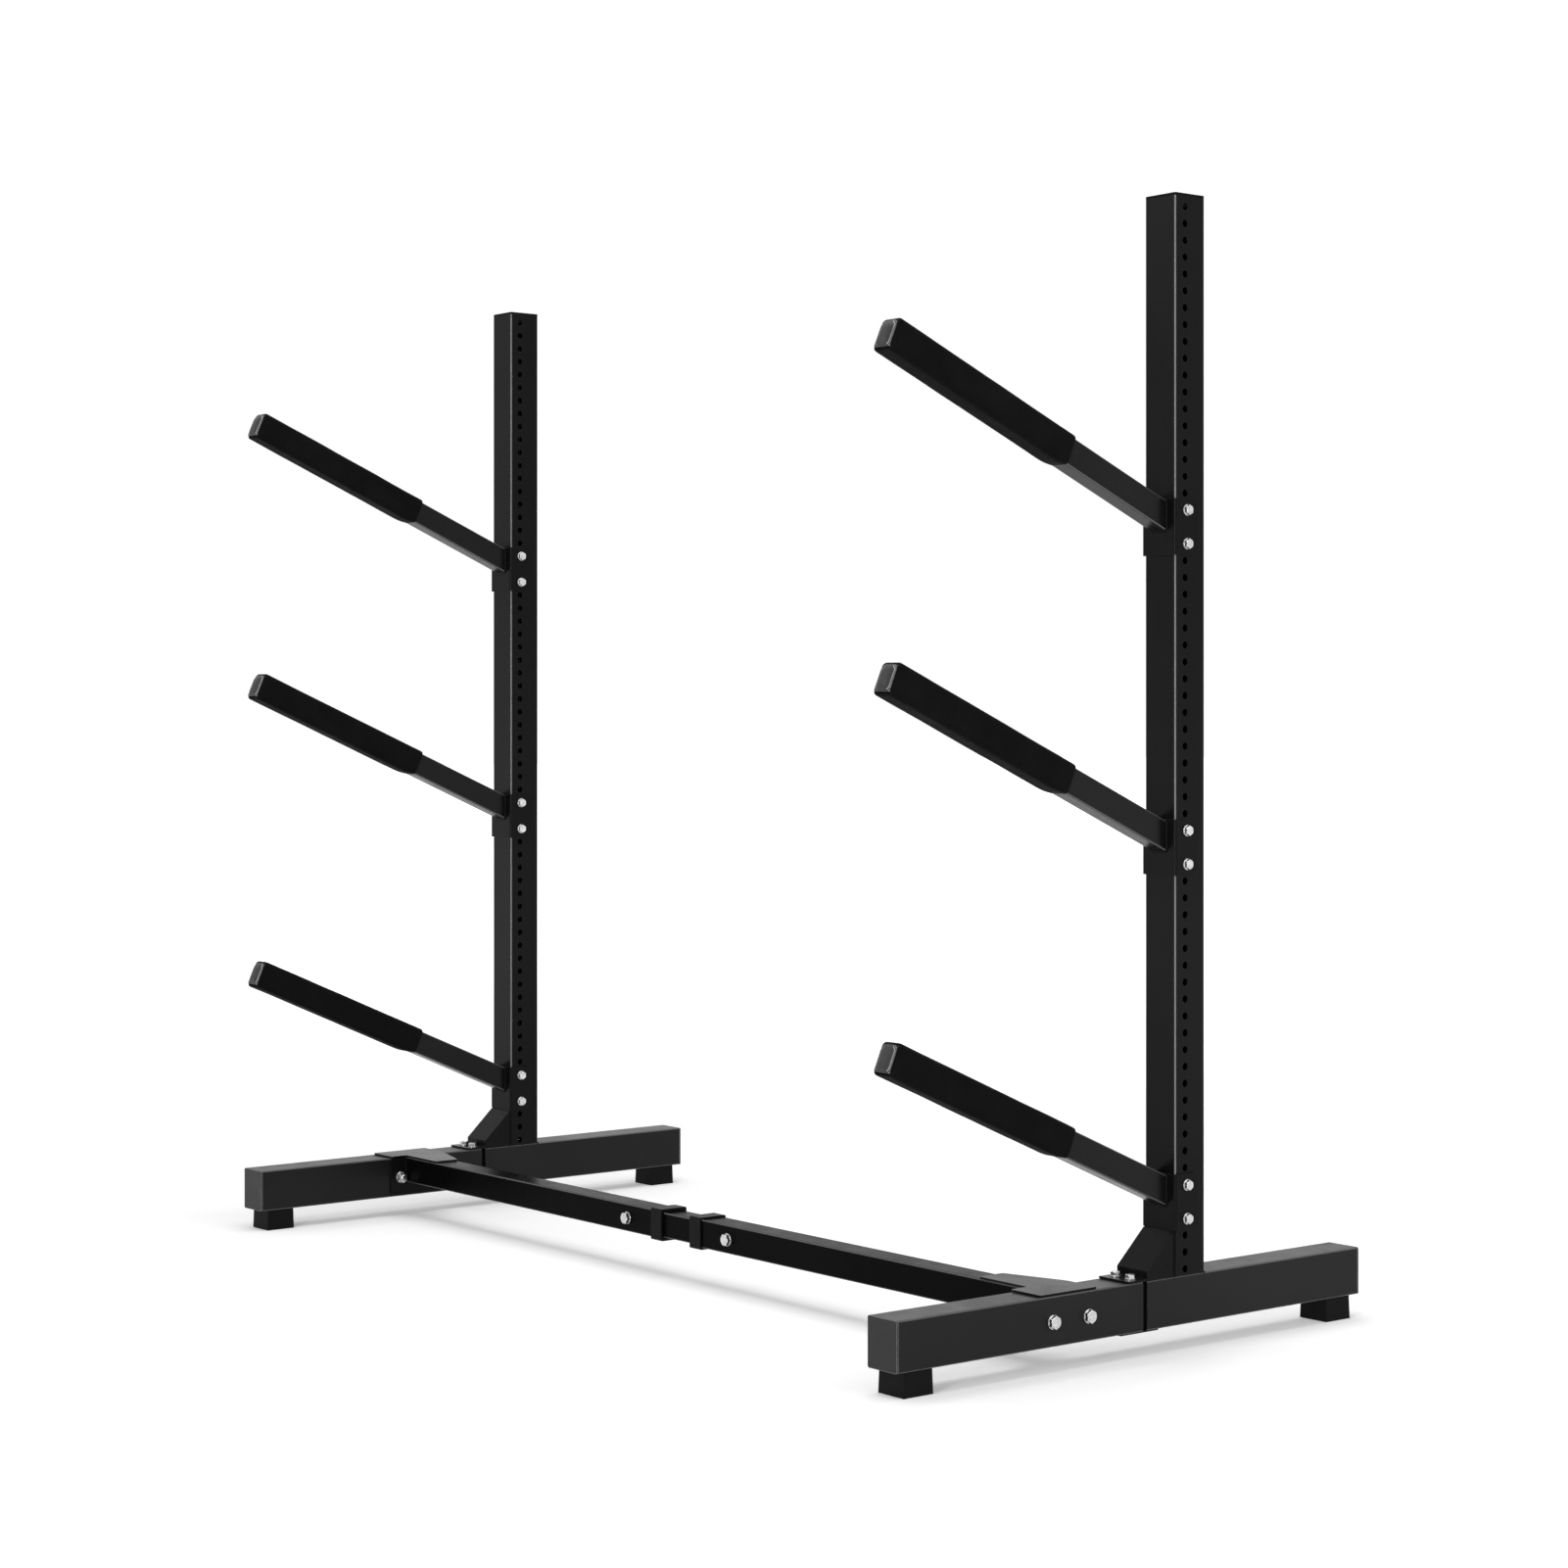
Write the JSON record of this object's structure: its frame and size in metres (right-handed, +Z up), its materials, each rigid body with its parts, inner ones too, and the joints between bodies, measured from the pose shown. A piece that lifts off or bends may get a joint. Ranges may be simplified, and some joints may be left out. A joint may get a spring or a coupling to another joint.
{
  "type": "kayak rack",
  "caption": "Freestanding rack: perforated posts on long feet, a telescoping crossbar, and padded, upward-sloping arms bolted at adjustable heights.",
  "frame": {"origin": "middle of the footprint, on the floor", "axes": "+X along the crossbar towards the picture's right-hand frame, -Y the way the arms reach, +Z up"},
  "size_m": [1.7881, 0.913, 1.645],
  "materials": {
    "powder_steel": "semi-gloss black powder coat",
    "zinc_steel": "bright zinc plate",
    "black_plastic": "satin black",
    "block_rubber": "matte black",
    "foam": "matte black closed-cell foam"
  },
  "bodies": {
    "left_frame": {"left_upright": "powder_steel", "left_upright_cap": "black_plastic", "left_rear_foot_tube": "powder_steel", "left_front_foot_tube": "powder_steel", "left_foot_splice_tube": "powder_steel", "left_gusset": "powder_steel", "left_foot_end_caps": "black_plastic", "left_foot_blocks": "block_rubber", "left_crossbar_bracket": "powder_steel", "left_crossbar_tube": "powder_steel", "left_crossbar_collar": "black_plastic", "left_bracket_bolts": "zinc_steel", "left_gusset_bolts": "zinc_steel", "left_crossbar_bolt": "zinc_steel"},
    "inner_bar": {"crossbar_inner_tube": "powder_steel"},
    "right_frame": {"right_upright": "powder_steel", "right_upright_cap": "black_plastic", "right_rear_foot_tube": "powder_steel", "right_front_foot_tube": "powder_steel", "right_foot_splice_tube": "powder_steel", "right_gusset": "powder_steel", "right_foot_end_caps": "black_plastic", "right_foot_blocks": "block_rubber", "right_crossbar_bracket": "powder_steel", "right_crossbar_tube": "powder_steel", "right_crossbar_collar": "black_plastic", "right_bracket_bolts": "zinc_steel", "right_gusset_bolts": "zinc_steel", "right_crossbar_bolt": "zinc_steel"},
    "left_low_arm": {"left_low_arm_bracket": "powder_steel", "left_low_arm_tube": "powder_steel", "left_low_foam_sleeve": "foam", "left_low_end_cap": "black_plastic", "left_low_arm_bolts": "zinc_steel"},
    "left_mid_arm": {"left_mid_arm_bracket": "powder_steel", "left_mid_arm_tube": "powder_steel", "left_mid_foam_sleeve": "foam", "left_mid_end_cap": "black_plastic", "left_mid_arm_bolts": "zinc_steel"},
    "left_top_arm": {"left_top_arm_bracket": "powder_steel", "left_top_arm_tube": "powder_steel", "left_top_foam_sleeve": "foam", "left_top_end_cap": "black_plastic", "left_top_arm_bolts": "zinc_steel"},
    "right_low_arm": {"right_low_arm_bracket": "powder_steel", "right_low_arm_tube": "powder_steel", "right_low_foam_sleeve": "foam", "right_low_end_cap": "black_plastic", "right_low_arm_bolts": "zinc_steel"},
    "right_mid_arm": {"right_mid_arm_bracket": "powder_steel", "right_mid_arm_tube": "powder_steel", "right_mid_foam_sleeve": "foam", "right_mid_end_cap": "black_plastic", "right_mid_arm_bolts": "zinc_steel"},
    "right_top_arm": {"right_top_arm_bracket": "powder_steel", "right_top_arm_tube": "powder_steel", "right_top_foam_sleeve": "foam", "right_top_end_cap": "black_plastic", "right_top_arm_bolts": "zinc_steel"}
  },
  "joints": [
    {"name": "crossbar_left_slide", "type": "slide", "parent": "left_frame", "child": "inner_bar", "axis": [1, 0, 0], "range_m": [-0.036, 0.18]},
    {"name": "crossbar_right_slide", "type": "slide", "parent": "inner_bar", "child": "right_frame", "axis": [1, 0, 0], "range_m": [-0.036, 0.18]},
    {"name": "left_low_arm_height", "type": "slide", "parent": "left_frame", "child": "left_low_arm", "axis": [0, 0, 1], "range_m": [0, 0.144]},
    {"name": "left_mid_arm_height", "type": "slide", "parent": "left_frame", "child": "left_mid_arm", "axis": [0, 0, 1], "range_m": [-0.144, 0.144]},
    {"name": "left_top_arm_height", "type": "slide", "parent": "left_frame", "child": "left_top_arm", "axis": [0, 0, 1], "range_m": [-0.144, 0.288]},
    {"name": "right_low_arm_height", "type": "slide", "parent": "right_frame", "child": "right_low_arm", "axis": [0, 0, 1], "range_m": [0, 0.144]},
    {"name": "right_mid_arm_height", "type": "slide", "parent": "right_frame", "child": "right_mid_arm", "axis": [0, 0, 1], "range_m": [-0.144, 0.144]},
    {"name": "right_top_arm_height", "type": "slide", "parent": "right_frame", "child": "right_top_arm", "axis": [0, 0, 1], "range_m": [-0.144, 0.288]}
  ]
}
